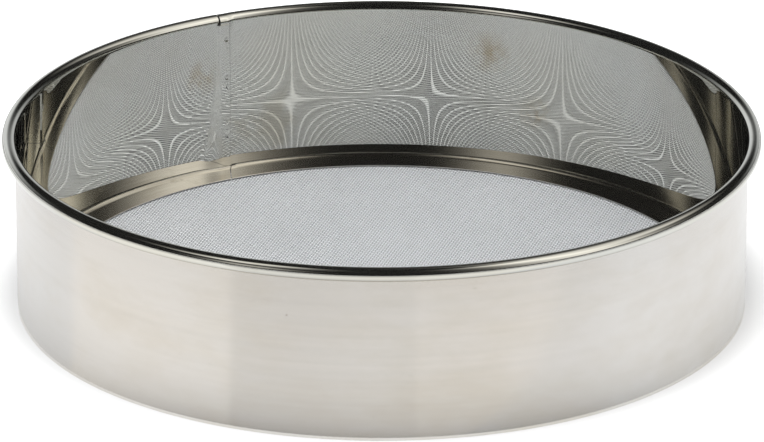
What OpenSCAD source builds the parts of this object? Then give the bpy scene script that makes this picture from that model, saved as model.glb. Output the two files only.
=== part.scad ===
// Tamis: a drum sieve with a rolled rim, a woven wire cloth and two clamping rings.
// The origin is the centre of the lower edge, +Z is up, and all lengths are in millimetres.

/* [Drum] */
// Outside diameter of the hoop
drum_d = 304.8; // [240:0.2:400]
// Height from the cut lower edge to the top of the rim
drum_h = 75.4; // [50:0.1:120]
// Thickness of the hoop's sheet
sheet_t = 0.6; // [0.4:0.05:0.8]
// Outside diameter of the rolled rim
bead_d = 6; // [5:0.1:9]
// Slit between the rim's free edge and the outside of the hoop
curl_gap = 0.15; // [0.1:0.05:0.4]

/* [Seam] */
// Direction of the inner sheet's cut end, in degrees counter-clockwise from +X
seam_a = 115.9; // [0:0.1:360]
// Width over which the two ends of the sheet lie on each other
lap_w = 5.7; // [3:0.1:12]
// Width of the joggle, the step that takes the inner end under the outer one
joggle_w = 1.6; // [1.2:0.1:4]
// Open joint in the rim at the end of the outer sheet
rim_joint = 0.6; // [0.3:0.1:1]

/* [Upper ring] */
// Height of the ring's flat top above the lower edge
ring_z = 4.7; // [4.2:0.1:12]
// Width of the ring, from its inner edge to its outer edge
ring_w = 12.8; // [9.5:0.1:20]
// Thickness of the ring's plate
ring_t = 0.6; // [0.4:0.05:0.9]
// Width of the dished edge that bears on the hoop
dish_w = 3.1; // [1.5:0.1:5]
// Rise of the dished edge above the flat
dish_h = 0.9; // [0.4:0.05:1.4]
// Clearance between the dished edge and the hoop
ring_gap = 0.1; // [0.05:0.05:0.3]
// Width of the joint between the ring's two ends
ring_joint = 0.4; // [0.2:0.1:1]
// Direction of that joint, in degrees counter-clockwise from +X
ring_joint_a = 116.4; // [0:0.1:360]

/* [Wire cloth] */
// Diameter of a wire
wire_d = 0.5; // [0.35:0.05:0.6]
// Distance between neighbouring wires: one wire in thirteen of a 1.27 mm cloth
wire_pitch = 16.51; // [16.51:0.01:30]
// Clearance between two wires where they cross
weave_gap = 0.04; // [0.02:0.01:0.08]
// Turn of the cloth in its frame, in degrees
cloth_turn = -15.7; // [-45:0.1:45]
// Width of the folded margin, from its inner edge to the outside of the fold
hem_w = 3.2; // [2.8:0.1:6]
// Clearance between the cloth and what it lies on
cloth_gap = 0.05; // [0.02:0.01:0.1]
// Clearance between the folded margin and the hoop
hem_gap = 0.1; // [0.05:0.05:0.3]
// Height of the cut wire ends above the lower edge
hem_z = 0.1; // [0.05:0.05:0.5]

/* [Lower ring] */
// Width of the flange under the cloth, from its inner edge to the outside of its leg
lower_w = 7; // [4:0.1:12]
// Thickness of the plate
lower_t = 0.6; // [0.4:0.05:0.9]
// Inside radius of the bend between flange and leg
lower_bend = 0.6; // [0.3:0.1:0.8]
// Height of the leg's end above the lower edge
lower_z = 0.3; // [0.1:0.1:0.8]
// Width of the joint between the ring's two ends
lower_joint = 1; // [0.3:0.1:3]
// Direction of that joint, in degrees counter-clockwise from +X
lower_joint_a = 300; // [0:1:360]

/* [Hidden] */

// Segments of a full turn, of a small arc, and of a wire's cross-section
turn_fn = 360;
arc_fn = 48;
wire_sides = 6;
// Reach of a cutting tool past what it cuts
past = 1;

// The hoop
wall_ro = drum_d / 2;
wall_ri = wall_ro - sheet_t;
bead_r = bead_d / 2;
lap_bead_r = bead_r + sheet_t / 2;
lap_end_a = seam_a + arc_deg(lap_w, wall_ri);
rim_end_a = lap_end_a + arc_deg(rim_joint, wall_ri);
joggle_top = drum_h - lap_bead_r - curl_gap;
joggle_end_a = lap_end_a + arc_deg(joggle_w, wall_ri);

// The upper ring
ring_ro = wall_ri - ring_gap;
ring_ri = ring_ro - ring_w;
dish_ri = ring_ro - dish_w;
dish_rad = (dish_w * dish_w + dish_h * dish_h) / (2 * dish_h);

// The cloth, clamped under the upper ring
cloth_t = 2 * wire_d + weave_gap;
cloth_top = ring_z - ring_t - cloth_gap;
cloth_z = cloth_top - cloth_t / 2;
weave_rise = (wire_d + weave_gap) / 2;
hem_ro = wall_ri - hem_gap;
hem_ri = hem_ro - hem_w;
net_r = hem_ri - cloth_gap;
wires_each_side = floor((net_r - wire_d) / wire_pitch);

// The lower ring, inside the folded margin
lower_ro = hem_ro - cloth_t - cloth_gap;
lower_ri = lower_ro - lower_w;
lower_top = cloth_top - cloth_t - cloth_gap;
bend_ro = lower_bend + lower_t;
fold_ri = bend_ro + cloth_gap;

// The relief that clears the inner end of the sheet
relief_r = wall_ri - sheet_t - ring_gap - hem_gap;
relief_w = 1.5;
relief_a = seam_a - arc_deg(relief_w, wall_ri);
relief_end_a = joggle_end_a + arc_deg(relief_w, wall_ri);

// Angle of an arc of length w on a circle of radius r
function arc_deg(w, r) = w / r * 180 / PI;

// Point at radius r and angle a in the plan
function polar(r, a) = [r * cos(a), r * sin(a)];

// Turns a half-section through the sector from angle a1 to angle a2
module sweep(a1, a2) {
    rotate([0, 0, a1]) rotate_extrude(angle = a2 - a1, $fn = turn_fn) children();
}

// Section of a rectangle of radius and height
module band(r1, r2, z1, z2) {
    translate([r1, z1]) square([r2 - r1, z2 - z1]);
}

// Quarter of a circular strip that turns a flange down into a leg.
// The centre of the bend is at radius r and height z.
module bend(r, z, ri, ro) {
    intersection() {
        translate([r, z]) difference() {
            circle(ro, $fn = arc_fn);
            circle(ri, $fn = arc_fn);
        }
        band(r, r + ro, z, z + ro);
    }
}

// Rolled rim: a strip of thickness t curled outwards from the hoop, with radius r outside.
// The wedge leaves out the arc between the hoop and the rim's free edge.
module curl(r, t) {
    x = wall_ro - t + r;
    open_a = acos((x - wall_ro - curl_gap) / r);
    translate([x, drum_h - r]) difference() {
        circle(r, $fn = arc_fn);
        circle(r - t, $fn = arc_fn);
        polygon([[0, 0], [-2 * r, 0], polar(-2 * r, open_a)]);
    }
}

// Section of the hoop where it is t thick, with its rim
module hoop_section(r, t) {
    band(wall_ro - t, wall_ro, 0, drum_h - r);
    curl(r, t);
}

// The sheet crosses from the inner layer of the lap to the line of the hoop
module joggle() {
    linear_extrude(joggle_top) polygon([
        polar(wall_ri - sheet_t, lap_end_a),
        polar(wall_ri, lap_end_a),
        polar(wall_ro, joggle_end_a),
        polar(wall_ri, joggle_end_a)
    ]);
}

// Narrow radial saw cut at angle a, wide enough for both rings
module joint_cut(a, w) {
    rotate([0, 0, a]) translate([wall_ri - 2 * ring_w, -w / 2, -past])
        cube([2 * ring_w + past, w, ring_z + dish_h + 2 * past]);
}

// Room for the inner sheet end where a ring or the cloth passes it
module seam_relief() {
    sweep(relief_a, relief_end_a) band(relief_r, wall_ro, -past, ring_z + dish_h + past);
}

module drum_wall() {
    color("gainsboro") {
        difference() {
            sweep(rim_end_a, seam_a + 360) hoop_section(bead_r, sheet_t);
            sweep(lap_end_a, joggle_end_a)
                band(wall_ri - past, wall_ro + curl_gap / 2, -past, joggle_top + curl_gap);
        }
        sweep(seam_a, lap_end_a) hoop_section(lap_bead_r, 2 * sheet_t);
        joggle();
    }
}

module upper_ring() {
    color("silver") difference() {
        sweep(0, 360) {
            band(ring_ri, dish_ri, ring_z - ring_t, ring_z);
            intersection() {
                translate([dish_ri, ring_z + dish_rad]) difference() {
                    circle(dish_rad + ring_t, $fn = 4 * arc_fn);
                    circle(dish_rad, $fn = 4 * arc_fn);
                }
                band(dish_ri, ring_ro, ring_z - ring_t, ring_z + dish_h + past);
            }
        }
        joint_cut(ring_joint_a, ring_joint);
        seam_relief();
    }
}

module lower_ring() {
    bend_r = lower_ro - bend_ro;
    bend_z = lower_top - bend_ro;
    color("darkgray") difference() {
        sweep(0, 360) {
            band(lower_ri, bend_r, lower_top - lower_t, lower_top);
            bend(bend_r, bend_z, lower_bend, bend_ro);
            band(lower_ro - lower_t, lower_ro, lower_z, bend_z);
        }
        joint_cut(lower_joint_a, lower_joint);
    }
}

// Margin of the cloth, folded over the lower ring and down the inside of the hoop
module cloth_hem() {
    fold_r = lower_ro - bend_ro;
    fold_z = lower_top - bend_ro;
    color("lightgray") difference() {
        sweep(0, 360) {
            band(hem_ri, fold_r, cloth_top - cloth_t, cloth_top);
            bend(fold_r, fold_z, fold_ri, fold_ri + cloth_t);
            band(hem_ro - cloth_t, hem_ro, hem_z, fold_z);
        }
        seam_relief();
    }
}

// One wire along X at distance s from the middle. It rises over one crossing wire and dips
// under the next; side is +1 or -1 and says which it does at the middle.
module wire(s, side) {
    run = sqrt(pow(net_r, 2) - pow(abs(s) + wire_d / 2, 2));
    last = floor(run / wire_pitch);
    path = [
        [-run, -last],
        for (j = [-last : last]) [j * wire_pitch, j],
        [run, last]
    ];
    rings = [
        for (p = path) [
            for (k = [0 : wire_sides - 1]) [
                p[0],
                s + wire_d / 2 * cos(k * 360 / wire_sides),
                side * weave_rise * (p[1] % 2 == 0 ? 1 : -1) + wire_d / 2 * sin(k * 360 / wire_sides)
            ]
        ]
    ];
    polyhedron(points = [for (ring = rings) each ring], faces = tube_faces(len(path), wire_sides));
}

// Triangles of a tube of n rings with m points each, with a fan over each end
function tube_faces(n, m) = [
    for (i = [0 : n - 2], k = [0 : m - 1]) each [
        [i * m + k, i * m + (k + 1) % m, (i + 1) * m + k],
        [i * m + (k + 1) % m, (i + 1) * m + (k + 1) % m, (i + 1) * m + k]
    ],
    for (k = [1 : m - 2]) each [
        [0, k + 1, k],
        [(n - 1) * m, (n - 1) * m + k, (n - 1) * m + k + 1]
    ]
];

// One set of parallel wires. Neighbours pass the crossing wires on opposite sides.
module wire_set(turn, side) {
    translate([0, 0, cloth_z]) rotate([0, 0, turn])
        for (i = [-wires_each_side : wires_each_side])
            wire(i * wire_pitch, side * (i % 2 == 0 ? 1 : -1));
}

module warp_wires() {
    color("lightsteelblue") wire_set(cloth_turn, 1);
}

module weft_wires() {
    color("lightslategray") wire_set(cloth_turn + 90, -1);
}

drum_wall();
upper_ring();
warp_wires();
weft_wires();
cloth_hem();
lower_ring();
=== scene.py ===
import math

import bpy
import numpy as np
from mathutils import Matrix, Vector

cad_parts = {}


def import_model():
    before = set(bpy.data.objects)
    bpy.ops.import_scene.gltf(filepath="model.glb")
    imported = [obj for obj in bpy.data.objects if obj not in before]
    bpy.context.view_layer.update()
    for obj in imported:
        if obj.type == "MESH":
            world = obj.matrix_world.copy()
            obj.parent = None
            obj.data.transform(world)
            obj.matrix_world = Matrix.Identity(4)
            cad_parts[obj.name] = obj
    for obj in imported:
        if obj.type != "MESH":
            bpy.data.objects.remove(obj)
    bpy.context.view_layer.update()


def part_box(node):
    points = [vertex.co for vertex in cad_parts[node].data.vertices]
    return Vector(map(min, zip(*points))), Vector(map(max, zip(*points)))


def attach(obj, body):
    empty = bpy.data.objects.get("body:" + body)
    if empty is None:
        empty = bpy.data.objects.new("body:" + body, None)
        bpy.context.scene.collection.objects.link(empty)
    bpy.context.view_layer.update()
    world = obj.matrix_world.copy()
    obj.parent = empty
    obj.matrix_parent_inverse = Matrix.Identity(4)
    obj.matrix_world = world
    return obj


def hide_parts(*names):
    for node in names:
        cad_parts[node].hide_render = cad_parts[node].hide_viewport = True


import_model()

# Driving sizes, in metres and degrees
MM = 0.001
FULL_TURN = 360.0
SAME_A = 1e-6
AZ_STEP = 0.5
SHEET_T = 0.6 * MM
BEAD_D = 6.0 * MM
CURL_GAP = 0.15 * MM
CURL_STEPS = 44
WALL_TOP = 71.8 * MM
EVEN_ROWS_TOP = 69.0 * MM
EVEN_ROWS = 16

# Thickness left at a bevelled cut edge, as a share of the sheet's
BOTTOM_EDGE = 0.8
CURL_EDGE = 0.7
SEAM_EDGE = 0.75
RING_INNER_EDGE = 0.62
RING_INNER_SHOULDER = 0.86
RING_OUTER_EDGE = 0.75

# The hoop's seam: its lap, its joggle, which widens towards the bottom, and its spot welds
SEAM_A = 115.9
LAP_W = 4.4 * MM
JOGGLE_W = 1.6 * MM
JOGGLE_SPREAD = 8.0
RIM_JOINT = 0.6 * MM
LAYER_GAP = 0.02 * MM
SEAM_AZ_STEP = 0.06
INNER_LAYER_TOP = 71.2 * MM
BULGE_START = -0.9
BULGE_END = 0.6
WELD_Z = (64.6 * MM, 46.9 * MM, 22.0 * MM)
WELD_A = SEAM_A + 0.65
WELD_R = 1.1 * MM
WELD_DEPTH = 0.14 * MM
WELD_ROWS = 13

# Brownish stains inside the hoop: azimuth, height and radius
STAINS = ((71.8, 55.0 * MM, 11.0 * MM), (63.7, 30.0 * MM, 9.0 * MM), (121.0, 49.0 * MM, 10.0 * MM))

# The upper ring. Its joint is at one azimuth at the outer edge and at another at the inner edge.
RING_T = 0.6 * MM
RING_W = 12.8 * MM
DISH_W = 3.1 * MM
DISH_H = 0.9 * MM
RING_JOINT = 0.4 * MM
RING_JOINT_A = 115.95
RING_JOINT_SKEW = 2.2
RELIEF_DEPTH = 0.75 * MM
RELIEF_LEAD = 3.0 * MM
RELIEF_FULL = 0.7 * MM
RELIEF_KEPT = 2.0 * MM
RELIEF_RUN = 11.0 * MM
RING_FINE_SPAN = 9.0
RING_FINE_STEP = 0.1

# The lower ring
LOWER_T = 0.6 * MM
LOWER_W = 7.0 * MM
LOWER_BEND = 0.6 * MM
LOWER_JOINT = 1.0 * MM
LOWER_JOINT_A = 300.0
LOWER_AZ_STEP = 0.75

# The wire cloth
WIRE_D = 0.35 * MM
WIRE_PITCH = 1.27 * MM
WIRE_SIDES = 4
CROSSING_GAP = 0.01 * MM
CLOTH_TURN = -15.7
FOLD_R = 0.75 * MM
SHORTEST_STEP = 0.15 * MM

# How metallic the finishes are: polished steel has a trace of haze, and drawn wire is mostly matt
POLISHED_METALLIC = 0.99
WIRE_METALLIC = 0.08

# The studio: light levels, floor tones with a painted shadow under the sieve, and the paper that the
# outside mirrors, with its painted contact shadow
SOFT_LIGHT = 0.82
SOFT_TINT = (0.98, 0.99, 1.0)
FLOOR_GLOW = 0.4
FLOOR_FADE = 0.03
FLOOR_TONE = 0.88
# Dark floor colour inside the hoop: a painted shadow under the sieve
FLOOR_PAINTED_SHADOW = 0.12
FLOOR_SIZE = 6.0
ROOM_TONE = (0.006, 0.006, 0.0055)
WARM = (1.0, 0.965, 0.90)
COOL = (0.97, 0.99, 1.0)
PAPER_LIGHT = (1.15, 1.133, 1.105)
PAPER_REACH = 1.5
# Painted contact shadow on the mirrored paper: its depth in front, its depth at the sides, and its reach
CONTACT_SHADE = 0.5
CONTACT_SHADE_SIDES = 0.3
CONTACT_REACH = 0.026

# Edges of the papers, by the azimuth at which the hoop mirrors them, and how much each sheet differs
LEFT_EDGE_A = -56.0
LEFT_SHADE = (0.07, 0.05, 0.02)
MIDDLE_EDGE_A = -23.6
MIDDLE_SHADE = 0.12
RIGHT_EDGE_A = 5.2
RIGHT_GAIN = 0.05

# Soft boxes: level, tint, middle azimuth from the camera's side, width, lowest and highest elevation, edge
SOFT_BOXES = (
    (1.15, WARM, 66, 16, 6, 76, 10),
    (0.85, WARM, 110, 25, 30, 80, 14),
    (0.48, WARM, -40, 9, 6, 40, 12),
    (1.00, WARM, -62, 16, 42, 80, 12),
    (0.80, COOL, -158, 18, -8, 26, 10),
    (0.50, COOL, 160, 14, -8, 22, 10),
)

# The key lamp, which lights the cloth and the floor
KEY_POWER = 115
KEY_SIZE = (2.5, 2.0)
KEY_PLACE = (-0.3, -1.1, 3.8)

# The camera, fitted to the ellipses of the rim, the base and the ring in the photograph
CAMERA_X = -0.0003
CAMERA_Y = -2.5292
CAMERA_Z = 1.0410
CAMERA_DOWN = 21.72
CAMERA_ROLL = 0.07
FRAME_SHIFT = 1.2
SENSOR_W = 36.0
PHOTO_W = 764
FOCAL_PIXELS = 6515

# Places read from the frame
wall_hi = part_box("drum_wall")[1]
ring_lo, ring_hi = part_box("upper_ring")
hem_lo, hem_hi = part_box("cloth_hem")
lower_lo, lower_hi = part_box("lower_ring")
DRUM_H = wall_hi.z
RIM_R = wall_hi.x
WALL_RO = RIM_R - BEAD_D + SHEET_T
WALL_MID = WALL_RO - SHEET_T / 2
WALL_RI = WALL_RO - SHEET_T
RING_RO = ring_hi.x
RING_TOP = ring_hi.z - DISH_H
CLOTH_Z = (ring_lo.z + lower_hi.z) / 2
SKIRT_R = (lower_hi.x + hem_hi.x) / 2
SKIRT_END = hem_lo.z


def arc_deg(width, radius):
    """Angle in degrees of an arc of that width."""
    return math.degrees(width / radius)


LAP_END_A = SEAM_A + arc_deg(LAP_W, WALL_RI)
RIM_END_A = LAP_END_A + arc_deg(RIM_JOINT, WALL_RI)
JOGGLE_END_A = LAP_END_A + arc_deg(JOGGLE_W, WALL_RI)


def smooth(x, start, end):
    """Smooth step of x, from 0 at start to 1 at end."""
    t = np.clip((np.asarray(x, float) - start) / (end - start), 0, 1)
    return t * t * (3 - 2 * t)


def make_object(name, points, faces, face_materials, materials, sharp_deg=35):
    """Mesh object from arrays of points and of faces with four corners."""
    mesh = bpy.data.meshes.new(name)
    points = np.asarray(points, np.float32)
    faces = np.asarray(faces, np.int32)
    mesh.vertices.add(len(points))
    mesh.vertices.foreach_set("co", points.ravel())
    mesh.loops.add(faces.size)
    mesh.loops.foreach_set("vertex_index", faces.ravel())
    mesh.polygons.add(len(faces))
    mesh.polygons.foreach_set("loop_start", np.arange(len(faces), dtype=np.int32) * 4)
    mesh.polygons.foreach_set("material_index", np.asarray(face_materials, np.int32))
    mesh.update(calc_edges=True)
    mesh.validate()
    for material in materials:
        mesh.materials.append(material)
    mesh.polygons.foreach_set("use_smooth", np.ones(len(mesh.polygons), bool))
    if sharp_deg:
        mesh.set_sharp_from_angle(angle=math.radians(sharp_deg))
    piece = bpy.data.objects.new(name, mesh)
    bpy.context.scene.collection.objects.link(piece)
    return piece


def surface_normals(grid):
    """Unit normals of a grid of points with the shape (rows, columns, 3)."""
    along = np.gradient(grid, axis=0)
    across = np.gradient(grid, axis=1)
    normals = np.cross(along, across)
    return normals / np.linalg.norm(normals, axis=2, keepdims=True)


def plate(name, grid, thickness, materials, mask=None):
    """Closed plate round a grid of middle points.

    The first material is on the side of the grid's normals, the second on the other side and the
    third on the cut edges. mask says which cells are there.
    """
    rows, columns = grid.shape[:2]
    normals = surface_normals(grid)
    half = (np.broadcast_to(thickness, (rows, columns)) / 2)[..., None]
    front_points, back_points = grid + normals * half, grid - normals * half
    points = np.concatenate([front_points.reshape(-1, 3), back_points.reshape(-1, 3)])
    index = np.arange(rows * columns).reshape(rows, columns)
    a, b, c, d = index[:-1, :-1], index[1:, :-1], index[1:, 1:], index[:-1, 1:]
    there = np.ones(a.shape, bool) if mask is None else mask
    back = rows * columns
    front_faces = np.stack([a, b, c, d], -1)[there]
    back_faces = np.stack([d, c, b, a], -1)[there] + back
    padded = np.pad(there, 1)
    edges = []
    for (first, second), shift in (((a, b), (1, 0)), ((b, c), (2, 1)), ((c, d), (1, 2)), ((d, a), (0, 1))):
        beside = padded[shift[0] : shift[0] + there.shape[0], shift[1] : shift[1] + there.shape[1]]
        open_edge = there & ~beside
        p, q = first[open_edge], second[open_edge]
        edges.append(np.stack([q, p, p + back, q + back], -1))
    edge_faces = np.concatenate(edges)
    faces = np.concatenate([front_faces, back_faces, edge_faces])
    numbers = np.repeat([0, 1, 2], [len(front_faces), len(back_faces), len(edge_faces)])
    used, faces = np.unique(faces, return_inverse=True)
    return make_object(name, points[used], faces.reshape(-1, 4), numbers, materials)


# Materials


class Nodes:
    """Small helper that adds shader nodes to a material."""

    def __init__(self, name):
        self.material = bpy.data.materials.new(name)
        self.material.use_nodes = True
        self.tree = self.material.node_tree
        self.shader = self.tree.nodes["Principled BSDF"]
        self.place = self.add("ShaderNodeTexCoord").outputs["Object"]

    def add(self, kind, **values):
        node = self.tree.nodes.new(kind)
        for key, value in values.items():
            setattr(node, key, value)
        return node

    def link(self, source, target):
        self.tree.links.new(source, target)

    def around(self):
        """Direction from the drum's axis in X and Y, and distance from it in Z."""
        flat = self.add("ShaderNodeVectorMath", operation="MULTIPLY")
        flat.inputs[1].default_value = (1, 1, 0)
        self.link(self.place, flat.inputs[0])
        reach = self.add("ShaderNodeVectorMath", operation="LENGTH")
        self.link(flat.outputs[0], reach.inputs[0])
        unit = self.add("ShaderNodeVectorMath", operation="NORMALIZE")
        self.link(flat.outputs[0], unit.inputs[0])
        lift = self.add("ShaderNodeCombineXYZ")
        self.link(reach.outputs["Value"], lift.inputs["Z"])
        total = self.add("ShaderNodeVectorMath", operation="ADD")
        self.link(unit.outputs[0], total.inputs[0])
        self.link(lift.outputs[0], total.inputs[1])
        return total.outputs[0]

    def noise(self, scale, detail=2.0, rough=0.5, place=None):
        """Noise with its own scale in X, Y and Z, in waves per metre."""
        mapping = self.add("ShaderNodeMapping")
        mapping.inputs["Scale"].default_value = scale
        self.link(place or self.place, mapping.inputs["Vector"])
        noise = self.add("ShaderNodeTexNoise")
        noise.inputs["Scale"].default_value = 1.0
        noise.inputs["Detail"].default_value = detail
        noise.inputs["Roughness"].default_value = rough
        self.link(mapping.outputs["Vector"], noise.inputs["Vector"])
        return noise.outputs["Fac"]

    def spot(self, azimuth, height, radius):
        """1 at that place on the hoop's wall, and 0 from the radius on."""
        turn = math.radians(azimuth)
        away = self.add("ShaderNodeVectorMath", operation="DISTANCE")
        away.inputs[1].default_value = (WALL_RI * math.cos(turn), WALL_RI * math.sin(turn), height)
        self.link(self.place, away.inputs[0])
        return self.span(away.outputs["Value"], 1, 0, 0, radius)

    def times(self, first, second):
        node = self.add("ShaderNodeMath", operation="MULTIPLY")
        self.link(first, node.inputs[0])
        self.link(second, node.inputs[1])
        return node.outputs["Value"]

    def span(self, value, low, high, start=0.3, end=0.7):
        """Maps value from start..end to low..high."""
        node = self.add("ShaderNodeMapRange")
        node.inputs["From Min"].default_value = start
        node.inputs["From Max"].default_value = end
        node.inputs["To Min"].default_value = low
        node.inputs["To Max"].default_value = high
        self.link(value, node.inputs["Value"])
        return node.outputs["Result"]

    def blend(self, factor, first, second):
        """Colour between first and second."""
        node = self.add("ShaderNodeMix", data_type="RGBA")
        for socket, colour in (("A", first), ("B", second)):
            target = next(s for s in node.inputs if s.name == socket and s.type == "RGBA")
            if isinstance(colour, bpy.types.NodeSocket):
                self.link(colour, target)
            else:
                target.default_value = (*colour, 1)
        self.link(factor, node.inputs["Factor"])
        return next(s for s in node.outputs if s.type == "RGBA")

    def bump(self, height, distance, under=None):
        node = self.add("ShaderNodeBump")
        node.inputs["Distance"].default_value = distance
        self.link(height, node.inputs["Height"])
        if under is not None:
            self.link(under, node.inputs["Normal"])
        return node.outputs["Normal"]

    def brush_round_axis(self, amount):
        """Fine lines that run round the drum's axis, so reflections spread up and down."""
        tangent = self.add("ShaderNodeTangent", direction_type="RADIAL", axis="Z")
        self.link(tangent.outputs["Tangent"], self.shader.inputs["Tangent"])
        self.shader.inputs["Anisotropic"].default_value = amount
        self.shader.inputs["Anisotropic Rotation"].default_value = 0.25

    def finish(self, colour, roughness, normal=None, metallic=1.0):
        self.shader.inputs["Metallic"].default_value = metallic
        self.link(colour, self.shader.inputs["Base Color"])
        self.link(roughness, self.shader.inputs["Roughness"])
        if normal is not None:
            self.link(normal, self.shader.inputs["Normal"])
        return self.material


def satin_steel():
    """Outside of the hoop: fine lines along the sheet, soft bands down it, warm clouds and small specks."""
    n = Nodes("satin_steel")
    lines = n.noise((9, 9, 1500), 2.0)
    rolled = n.noise((5, 5, 420), 2.0)
    bands = n.noise((11, 11, 1.5), 1.0)
    hues = n.noise((7, 7, 12), 2.0)
    clouds = n.noise((19, 19, 38), 4.0, 0.6)
    specks = n.noise((700, 700, 700), 1.0)
    tone = n.blend(n.span(bands, 0, 1), (0.70, 0.68, 0.65), (0.77, 0.762, 0.742))
    tone = n.blend(n.span(hues, 0, 0.45), tone, (0.755, 0.71, 0.66))
    tone = n.blend(n.span(clouds, 0, 0.55, 0.42, 0.70), tone, (0.66, 0.615, 0.54))
    tone = n.blend(n.span(lines, 0, 0.05, 0.2, 0.8), tone, (0.45, 0.42, 0.38))
    tone = n.blend(n.span(specks, 0, 0.6, 0.78, 0.84), tone, (0.35, 0.31, 0.26))
    n.brush_round_axis(0.9)
    return n.finish(tone, n.span(rolled, 0.19, 0.22), n.bump(lines, 0.0006 * MM))


def mirror_steel():
    """Inside of the hoop and its rim: polished, with wipe marks, brownish stains and a faint waviness."""
    n = Nodes("mirror_steel")
    wipes = n.noise((30, 30, 8), 3.0)
    tints = n.noise((13, 13, 18), 2.0)
    stains = n.noise((19, 19, 22), 4.0, 0.65)
    haze = n.noise((260, 260, 90), 2.0)
    waves = n.noise((40, 40, 55), 1.0)
    tone = n.blend(n.span(wipes, 0, 1), (0.68, 0.68, 0.64), (0.735, 0.74, 0.71))
    tone = n.blend(n.span(tints, 0, 0.5), tone, (0.70, 0.68, 0.59))
    tone = n.blend(n.span(stains, 0, 0.45, 0.62, 0.72), tone, (0.47, 0.42, 0.31))
    blotches = n.span(n.noise((150, 150, 150), 4.0, 0.7), 0.1, 0.9, 0.4, 0.6)
    for stain in STAINS:
        tone = n.blend(n.times(n.spot(*stain), blotches), tone, (0.50, 0.42, 0.29))
    return n.finish(tone, n.span(haze, 0.004, 0.014), n.bump(waves, 0.003 * MM), POLISHED_METALLIC)


def ring_steel():
    """Clamping rings: rolled strip, bright, with fine streaks round it and darker stained stretches."""
    n = Nodes("ring_steel")
    streaks = n.noise((5, 5, 2600), 3.0, 0.6, place=n.around())
    wipes = n.noise((35, 35, 35), 3.0)
    stains = n.noise((90, 90, 90), 4.0, 0.65)
    waves = n.noise((70, 70, 70), 2.0)
    tone = n.blend(n.span(wipes, 0, 1), (0.66, 0.625, 0.56), (0.76, 0.735, 0.68))
    tone = n.blend(n.span(streaks, 0, 0.7, 0.35, 0.75), tone, (0.52, 0.475, 0.40))
    tone = n.blend(n.span(stains, 0, 0.6, 0.60, 0.74), tone, (0.42, 0.38, 0.31))
    normal = n.bump(waves, 0.008 * MM, under=n.bump(streaks, 0.002 * MM))
    return n.finish(tone, n.span(streaks, 0.05, 0.15), normal, POLISHED_METALLIC)


def cut_steel():
    """Sheared edges of the sheet and of the rings."""
    n = Nodes("cut_steel")
    grit = n.noise((2200, 2200, 2200), 2.0)
    tone = n.blend(n.span(grit, 0, 1), (0.58, 0.57, 0.55), (0.72, 0.71, 0.69))
    normal = n.bump(grit, 0.02 * MM)
    return n.finish(tone, n.span(grit, 0.25, 0.4), normal)


def wire_steel():
    """Drawn wire of the cloth."""
    n = Nodes("wire_steel")
    grain = n.noise((700, 700, 700), 2.0)
    patches = n.noise((25, 25, 25), 2.0)
    tone = n.blend(n.span(patches, 0, 1), (0.92, 0.935, 0.955), (0.955, 0.97, 0.99))
    return n.finish(tone, n.span(grain, 0.28, 0.4), None, WIRE_METALLIC)


satin = satin_steel()
mirror = mirror_steel()
ring_finish = ring_steel()
cut = cut_steel()
wire_finish = wire_steel()


def add_piece(piece, slot, *nodes):
    """The piece rides with the drum and stands for those nodes, which it hides. slot is not used."""
    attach(piece, "root")
    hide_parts(*nodes)


# The hoop


def azimuth_steps(start, end, coarse, fine_spans, fine):
    """Azimuths from start down to end in coarse steps, and in fine ones inside the spans."""
    steps = list(np.arange(start, end, -coarse)) + [end]
    for high, low in fine_spans:
        steps = [s for s in steps if not low < s < high]
        count = int(math.ceil((high - low) / fine))
        steps += list(np.linspace(high, low, count + 1))
    steps = np.unique(np.round([s for s in steps if end <= s <= start], 6))
    return steps[::-1]


def wall_heights():
    """Heights of the hoop's rows, closer together at the welds and at the edges."""
    heights = list(np.linspace(0, EVEN_ROWS_TOP, EVEN_ROWS))
    heights += [0.08 * MM, 0.2 * MM, EVEN_ROWS_TOP + MM, INNER_LAYER_TOP, WALL_TOP]
    for z in WELD_Z:
        heights += list(np.linspace(z - 2 * WELD_R, z + 2 * WELD_R, WELD_ROWS))
    return np.unique(np.round(heights, 6))


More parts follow.
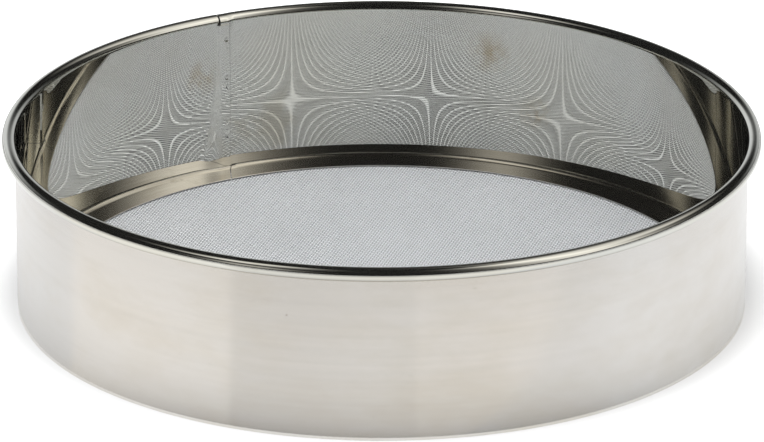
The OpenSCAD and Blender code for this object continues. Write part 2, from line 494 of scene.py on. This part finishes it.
def hoop():
    """One rolled sheet. Its wall, its curl and its lapped ends are one grid of middle points."""
    end_a = SEAM_A - FULL_TURN
    widest = JOGGLE_W * (1 + JOGGLE_SPREAD)
    joggle_start = LAP_END_A - FULL_TURN + arc_deg(widest, WALL_RI)
    fine = [(LAP_END_A, SEAM_A + BULGE_START - 0.4), (joggle_start + 0.1, end_a)]
    az = azimuth_steps(LAP_END_A, end_a, AZ_STEP, fine, SEAM_AZ_STEP)
    az = np.unique(np.append(az, RIM_END_A - FULL_TURN))[::-1]
    heights = wall_heights()
    bulge = smooth(az, SEAM_A + BULGE_START, SEAM_A + BULGE_END)
    bead_r = BEAD_D / 2 + SHEET_T / 2 * bulge
    centre_r = WALL_RO - SHEET_T + BEAD_D / 2 - SHEET_T / 2 * bulge
    centre_z = DRUM_H - bead_r
    spread = arc_deg(JOGGLE_W, WALL_RI) * (1 + JOGGLE_SPREAD * (1 - heights / DRUM_H) ** 3)
    past_lap = LAP_END_A - FULL_TURN - az[:, None]
    inner = smooth(past_lap, -spread[None, :], 0)
    wall_r = WALL_MID - (SHEET_T + LAYER_GAP) * inner

    fold = smooth(heights, INNER_LAYER_TOP - 0.6 * MM, DRUM_H - BEAD_D / 2)
    pull = np.where(inner > 0, 0, SHEET_T * bulge[:, None] * fold[None, :])
    radius = wall_r - pull
    weld_side = (az + FULL_TURN - WELD_A) * math.radians(1) * WALL_RI
    for z in WELD_Z:
        away = np.hypot(weld_side[:, None], heights[None, :] - z) / WELD_R
        dent = np.exp(-(away**2))
        collar = 0.5 * np.exp(-((away - 1.2) ** 2) * 6)
        radius = radius + WELD_DEPTH * (dent - collar)
    z_wall = np.broadcast_to(heights, radius.shape)

    open_a = math.acos((BEAD_D / 2 - SHEET_T - CURL_GAP) / (BEAD_D / 2))
    turn = np.linspace(math.pi, open_a - math.pi, CURL_STEPS)
    curl_mid = (bead_r - SHEET_T / 2)[:, None]
    curl_r = centre_r[:, None] + curl_mid * np.cos(turn)
    curl_z = centre_z[:, None] + curl_mid * np.sin(turn)

    r = np.concatenate([radius, curl_r], axis=1)
    z = np.concatenate([z_wall, curl_z], axis=1)
    a = np.radians(az)[:, None]
    grid = np.stack([r * np.cos(a), r * np.sin(a), z], -1)

    mask = np.ones((len(az) - 1, r.shape[1] - 1), bool)
    wall_cells = len(heights) - 1
    top_cell = np.searchsorted(heights, INNER_LAYER_TOP - 0.01 * MM)
    mask[az[:-1] <= JOGGLE_END_A - FULL_TURN + SAME_A, top_cell:wall_cells] = False
    mask[az[:-1] <= RIM_END_A - FULL_TURN + SAME_A, wall_cells:] = False

    thickness = np.full(r.shape, SHEET_T)
    thickness[:, 0] = BOTTOM_EDGE * SHEET_T
    thickness[:, -1] = CURL_EDGE * SHEET_T
    thickness[-1] = SEAM_EDGE * SHEET_T
    return plate("hoop", grid, thickness, [mirror, satin, cut], mask)


add_piece(hoop(), "hoop_steel", "drum_wall")

# The upper ring


def upper_ring():
    """Flat ring with a dished edge, cut through at its joint."""
    gap = arc_deg(RING_JOINT, RING_RO) / 2
    start = RING_JOINT_A - gap
    end = RING_JOINT_A + gap - FULL_TURN
    fine = [(start, start - RING_FINE_SPAN / 3), (end + RING_FINE_SPAN, end)]
    az = azimuth_steps(start, end, AZ_STEP, fine, RING_FINE_STEP)
    inner_r = RING_RO - RING_W
    dish_r = RING_RO - DISH_W
    flat = np.concatenate([
        inner_r + np.array([0, 0.06, 0.16, 0.4]) * MM,
        np.linspace(inner_r + MM, dish_r, 10)[:-1],
    ])
    dish = np.linspace(dish_r, RING_RO, 14)
    lip = RING_RO - np.array([0.08, 0.0]) * MM
    radius = np.concatenate([flat, dish[:-1], lip])
    bend_r = (DISH_W**2 + DISH_H**2) / (2 * DISH_H)
    rise = bend_r - np.sqrt(bend_r**2 - np.clip(radius - dish_r, 0, None) ** 2)
    top = RING_TOP + rise

    past_seam = ((az - SEAM_A + 180) % FULL_TURN - 180) * math.radians(1) * WALL_RI
    notch = smooth(past_seam, -RELIEF_LEAD, -RELIEF_FULL)
    notch = notch * (1 - smooth(past_seam, LAP_W + RELIEF_KEPT, LAP_W + RELIEF_RUN))
    reach = np.clip((radius - dish_r) / DISH_W, 0, 1)
    r = radius[None, :] - notch[:, None] * RELIEF_DEPTH * reach[None, :]
    z = np.broadcast_to(top - RING_T / 2, r.shape)
    skew = RING_JOINT_SKEW * (RING_RO - radius) / RING_W
    a = np.radians(az[:, None] + skew[None, :])
    grid = np.stack([r * np.cos(a), r * np.sin(a), z], -1)[::-1]
    thickness = np.full(r.shape, RING_T)
    thickness[:, 0] = RING_INNER_EDGE * RING_T
    thickness[:, 1] = RING_INNER_SHOULDER * RING_T
    thickness[:, -1] = RING_OUTER_EDGE * RING_T
    return plate("clamping_ring", grid, thickness, [ring_finish, ring_finish, cut])


add_piece(upper_ring(), "ring_steel", "upper_ring")

# The lower ring


def lower_ring():
    """Angle section: a flange under the cloth and a leg down inside the hoop."""
    gap = arc_deg(LOWER_JOINT, lower_hi.x) / 2
    az = np.radians(np.arange(LOWER_JOINT_A + gap, LOWER_JOINT_A + FULL_TURN - gap, LOWER_AZ_STEP))
    outer_r = lower_hi.x
    inner_r = outer_r - LOWER_W
    top = lower_hi.z
    middle = LOWER_BEND + LOWER_T / 2
    bend_r = outer_r - LOWER_BEND - LOWER_T
    bend_z = top - LOWER_BEND - LOWER_T
    turn = np.linspace(math.pi / 2, 0, 9)
    radius = np.concatenate([
        np.linspace(inner_r, bend_r, 7)[:-1],
        bend_r + middle * np.cos(turn),
        np.full(2, outer_r - LOWER_T / 2),
    ])
    height = np.concatenate([
        np.full(6, top - LOWER_T / 2),
        bend_z + middle * np.sin(turn),
        [0.5 * (bend_z + lower_lo.z), lower_lo.z],
    ])
    grid = np.stack([
        np.cos(az)[:, None] * radius,
        np.sin(az)[:, None] * radius,
        np.broadcast_to(height, (len(az), len(height))),
    ], -1)
    return plate("cloth_ring", grid, LOWER_T, [ring_finish, ring_finish, cut])


add_piece(lower_ring(), "ring_steel", "lower_ring")

# The wire cloth


def fold_down(points):
    """Bends a flat cloth down at its margin, keeping the length along each radius."""
    radius = np.hypot(points[:, 0], points[:, 1])
    turn_start = SKIRT_R - FOLD_R
    past = np.clip(radius - turn_start, 0, None)
    turn = np.clip(past / FOLD_R, 0, math.pi / 2)
    down = np.clip(past - FOLD_R * math.pi / 2, 0, None)
    new_radius = np.where(past > 0, turn_start + FOLD_R * np.sin(turn), radius)
    new_z = CLOTH_Z - FOLD_R * (1 - np.cos(turn)) - down
    out_r = np.sin(turn)
    out_z = np.cos(turn)
    lift = points[:, 2]
    scale = (new_radius + lift * out_r) / np.maximum(radius, MM)
    return np.stack([points[:, 0] * scale, points[:, 1] * scale, new_z + lift * out_z], -1)


def wire_set(name, turn, side):
    """Parallel wires of a plain weave. side says which neighbours they pass over."""
    flat_r = SKIRT_R - FOLD_R + FOLD_R * math.pi / 2 + (CLOTH_Z - FOLD_R - SKIRT_END)
    rise = (WIRE_D + CROSSING_GAP) / 2
    angle = math.radians(turn)
    along = np.array([math.cos(angle), math.sin(angle), 0])
    across = np.array([-math.sin(angle), math.cos(angle), 0])
    up = np.array([0, 0, 1.0])
    corner = np.radians(45 + np.arange(WIRE_SIDES) * 360 / WIRE_SIDES)
    all_points, all_faces, count = [], [], 0
    wires = int(flat_r / WIRE_PITCH)
    for i in range(-wires, wires + 1):
        offset = i * WIRE_PITCH
        run = math.sqrt(max(flat_r**2 - offset**2, 0))
        last = int(run / WIRE_PITCH)
        if last < 2:
            continue
        j = np.arange(-last, last + 1)
        t = np.concatenate([[-run], j * WIRE_PITCH, [run]])
        sign = np.where((np.abs(j) + abs(i)) % 2 == 0, 1.0, -1.0) * side
        lift = rise * np.concatenate([sign[:1], sign, sign[-1:]])
        keep = np.append(True, np.diff(t) > SHORTEST_STEP)
        t, lift = t[keep], lift[keep]
        centre = t[:, None] * along + offset * across
        rings = (
            centre[:, None, :]
            + WIRE_D / 2 * np.cos(corner)[None, :, None] * across
            + (lift[:, None, None] + WIRE_D / 2 * np.sin(corner)[None, :, None]) * up
        )
        points = fold_down(rings.reshape(-1, 3))
        n = len(t)
        grid = np.arange(n * WIRE_SIDES).reshape(n, WIRE_SIDES) + count
        nxt = np.roll(grid, -1, axis=1)
        sides = np.stack([grid[:-1], nxt[:-1], nxt[1:], grid[1:]], -1).reshape(-1, 4)
        all_points.append(points)
        all_faces += [sides, grid[:1, ::-1], grid[-1:]]
        count += n * WIRE_SIDES
    faces = np.concatenate(all_faces)
    return make_object(name, np.concatenate(all_points), faces, np.zeros(len(faces)), [wire_finish], None)


warp = wire_set("cloth_warp", CLOTH_TURN, 1)
weft = wire_set("cloth_weft", CLOTH_TURN + 90, -1)
add_piece(warp, "wire_steel", "warp_wires", "cloth_hem")
add_piece(weft, "wire_steel", "weft_wires")

# The studio


def seen_directly(tree):
    """1 for camera, glossy and transmission rays, and 0 for the others."""
    path = tree.nodes.new("ShaderNodeLightPath")
    total = path.outputs["Is Camera Ray"]
    for name in ("Is Glossy Ray", "Is Transmission Ray"):
        join = tree.nodes.new("ShaderNodeMath")
        join.operation = "MAXIMUM"
        tree.links.new(total, join.inputs[0])
        tree.links.new(path.outputs[name], join.inputs[1])
        total = join.outputs[0]
    return total


def world():
    """Soft light all round, and a white background."""
    made = bpy.data.worlds.new("studio")
    made.use_nodes = True
    tree = made.node_tree
    soft = tree.nodes["Background"]
    soft.inputs["Color"].default_value = (*SOFT_TINT, 1)
    soft.inputs["Strength"].default_value = SOFT_LIGHT
    white = tree.nodes.new("ShaderNodeBackground")
    white.inputs["Color"].default_value = (1, 1, 1, 1)
    white.inputs["Strength"].default_value = 1.0
    mix = tree.nodes.new("ShaderNodeMixShader")
    tree.links.new(seen_directly(tree), mix.inputs[0])
    tree.links.new(soft.outputs[0], mix.inputs[1])
    tree.links.new(white.outputs[0], mix.inputs[2])
    tree.links.new(mix.outputs[0], tree.nodes["World Output"].inputs["Surface"])
    bpy.context.scene.world = made


def floor():
    """White floor that keeps the object's shadow, with a painted shadow: a dark disc under the sieve,
    inside the hoop.
    """
    material = bpy.data.materials.new("floor")
    material.use_nodes = True
    tree = material.node_tree
    shader = tree.nodes["Principled BSDF"]
    shader.inputs["Roughness"].default_value = 0.9
    shader.inputs["Specular IOR Level"].default_value = 0.1
    place = tree.nodes.new("ShaderNodeTexCoord")
    reach = tree.nodes.new("ShaderNodeVectorMath")
    reach.operation = "LENGTH"
    tree.links.new(place.outputs["Object"], reach.inputs[0])
    fade = tree.nodes.new("ShaderNodeMapRange")
    fade.inputs["From Min"].default_value = WALL_RI
    fade.inputs["From Max"].default_value = WALL_RI + FLOOR_FADE
    fade.inputs["To Max"].default_value = FLOOR_GLOW
    tree.links.new(reach.outputs["Value"], fade.inputs["Value"])
    # Painted shadow: the floor's colour is dark inside the hoop, under the cloth, and turns white across
    # the wall's thickness
    shade = tree.nodes.new("ShaderNodeMapRange")
    shade.inputs["From Min"].default_value = WALL_RI
    shade.inputs["From Max"].default_value = WALL_RO
    shade.inputs["To Min"].default_value = FLOOR_PAINTED_SHADOW
    shade.inputs["To Max"].default_value = FLOOR_TONE
    tree.links.new(reach.outputs["Value"], shade.inputs["Value"])
    tree.links.new(shade.outputs["Result"], shader.inputs["Base Color"])
    glow = tree.nodes.new("ShaderNodeMath")
    glow.operation = "MULTIPLY"
    tree.links.new(seen_directly(tree), glow.inputs[0])
    tree.links.new(fade.outputs["Result"], glow.inputs[1])
    shader.inputs["Emission Color"].default_value = (1, 1, 1, 1)
    tree.links.new(glow.outputs[0], shader.inputs["Emission Strength"])
    far = FLOOR_SIZE
    points = [(-far, -far, 0), (far, -far, 0), (far, far, 0), (-far, far, 0)]
    made = make_object("floor", points, [(0, 1, 2, 3)], [0], [material], None)


def soft_patch(azimuth, elevation, middle, width, low, high, edge):
    """Brightness of one softbox: bell-shaped round the middle azimuth, level from low to high."""
    away = (azimuth - middle + 180) % 360 - 180
    round_it = np.exp(-((away / width) ** 2) / 2)
    return round_it * smooth(elevation, low, low + edge) * (1 - smooth(elevation, high - edge, high))


def studio_light(azimuth, elevation):
    """What the polished steel reflects: a dark room with soft boxes. Azimuth 0 is the camera's side."""
    light = np.array(ROOM_TONE) * np.ones_like(azimuth)[..., None]
    for level, tint, *shape in SOFT_BOXES:
        light = light + level * np.array(tint) * soft_patch(azimuth, elevation, *shape)[..., None]
    return light


def reflected_card(name, points, colours):
    """Grid of points with a brightness at each. Only reflections show it: it lights and shades nothing."""
    rows, columns = points.shape[:2]
    index = np.arange(rows * columns).reshape(rows, columns)
    faces = np.stack([index[:-1, :-1], index[1:, :-1], index[1:, 1:], index[:-1, 1:]], -1).reshape(-1, 4)
    material = bpy.data.materials.new(name)
    material.use_nodes = True
    tree = material.node_tree
    light = tree.nodes.new("ShaderNodeAttribute")
    light.attribute_name = "light"
    glow = tree.nodes.new("ShaderNodeEmission")
    tree.links.new(light.outputs["Color"], glow.inputs["Color"])
    tree.links.new(glow.outputs[0], tree.nodes["Material Output"].inputs["Surface"])
    card = make_object(name, points.reshape(-1, 3), faces, np.zeros(len(faces)), [material], None)
    layer = card.data.color_attributes.new("light", "FLOAT_COLOR", "POINT")
    layer.data.foreach_set("color", np.insert(colours.reshape(-1, 3), 3, 1, axis=1).ravel())
    card.visible_camera = False
    card.visible_diffuse = False
    card.visible_transmission = False
    card.visible_volume_scatter = False
    card.visible_shadow = False


def polar_points(radius, azimuth, elevation):
    """Points seen from the origin at that azimuth from the camera's side and that elevation."""
    az, el = np.radians(azimuth), np.radians(elevation)
    flat = radius * np.cos(el)
    return np.stack([flat * np.sin(az), -flat * np.cos(az), radius * np.sin(el)], -1)


def studio_dome(radius=5.0, columns=180, rows=48):
    """Dome with the studio's light."""
    az, el = np.meshgrid(np.linspace(-180, 180, columns + 1), np.linspace(0, 90, rows + 1), indexing="ij")
    reflected_card("studio_dome", polar_points(radius, az, el), studio_light(az, el))


def paper_edge(azimuth, radius, seen_at, blur=1.5 * MM):
    """Step at a paper's straight edge, which the hoop mirrors as an upright line at that azimuth."""
    away = radius * np.sin(np.radians(azimuth - 2 * seen_at)) + WALL_RO * math.sin(math.radians(seen_at))
    return smooth(away, -blur, blur)


def table_sheet(columns=720, rows=60):
    """White paper round the sieve, as its outside mirrors it, with a painted contact shadow next to the
    hoop, painted fall-off further out and the edges of three sheets.
    """
    inner, outer = WALL_RO + 0.5 * MM, PAPER_REACH
    az, step = np.meshgrid(np.linspace(-180, 180, columns + 1), np.linspace(0, 1, rows + 1), indexing="ij")
    radius = inner + (outer - inner) * step**3
    at_sides = smooth(np.abs(az), 25, 60)
    shade = CONTACT_SHADE + (CONTACT_SHADE_SIDES - CONTACT_SHADE) * at_sides
    # Painted contact shadow next to the hoop, and painted fall-off of the paper's light further out
    painted_contact_shadow = 1 - shade * np.exp(-(radius - inner) / CONTACT_REACH)
    dimmer = 0.11 * smooth(radius, inner + 0.08, inner + 0.18)
    room = 0.6 * smooth(radius, inner + 0.2, inner + 0.5)
    middle = paper_edge(az, radius, MIDDLE_EDGE_A) * (1 - smooth(az, 10, 60))
    right = paper_edge(az, radius, RIGHT_EDGE_A) * (1 - smooth(az, 20, 50))
    left = 1 - paper_edge(az, radius, LEFT_EDGE_A)
    tone = painted_contact_shadow * (1 - dimmer - room) * (1 - MIDDLE_SHADE * middle + RIGHT_GAIN * right)
    light = tone[..., None] * np.array(PAPER_LIGHT) * (1 - left[..., None] * np.array(LEFT_SHADE))
    points = polar_points(radius, az, np.zeros_like(az)) + np.array([0, 0, MM])
    reflected_card("table_sheet", points, light)


world()
floor()
studio_dome()
table_sheet()

key = bpy.data.lights.new("key", "AREA")
key.shape = "RECTANGLE"
key.size, key.size_y = KEY_SIZE
key.energy = KEY_POWER
key_lamp = bpy.data.objects.new("key", key)
key_lamp.location = KEY_PLACE
key_lamp.rotation_euler = (-key_lamp.location).to_track_quat("-Z", "Y").to_euler()
key_lamp.visible_glossy = False
bpy.context.scene.collection.objects.link(key_lamp)

# The camera

lens = bpy.data.cameras.new("camera")
lens.sensor_fit = "HORIZONTAL"
lens.sensor_width = SENSOR_W
lens.lens = FOCAL_PIXELS * SENSOR_W / PHOTO_W
lens.clip_end = 50
lens.shift_x = FRAME_SHIFT / PHOTO_W
camera = bpy.data.objects.new("camera", lens)
camera.location = (CAMERA_X, CAMERA_Y, CAMERA_Z)
camera.rotation_mode = "ZXY"
camera.rotation_euler = (math.radians(90 - CAMERA_DOWN), 0, math.radians(CAMERA_ROLL))
bpy.context.scene.collection.objects.link(camera)
bpy.context.scene.camera = camera

bpy.context.scene.view_settings.view_transform = "Standard"
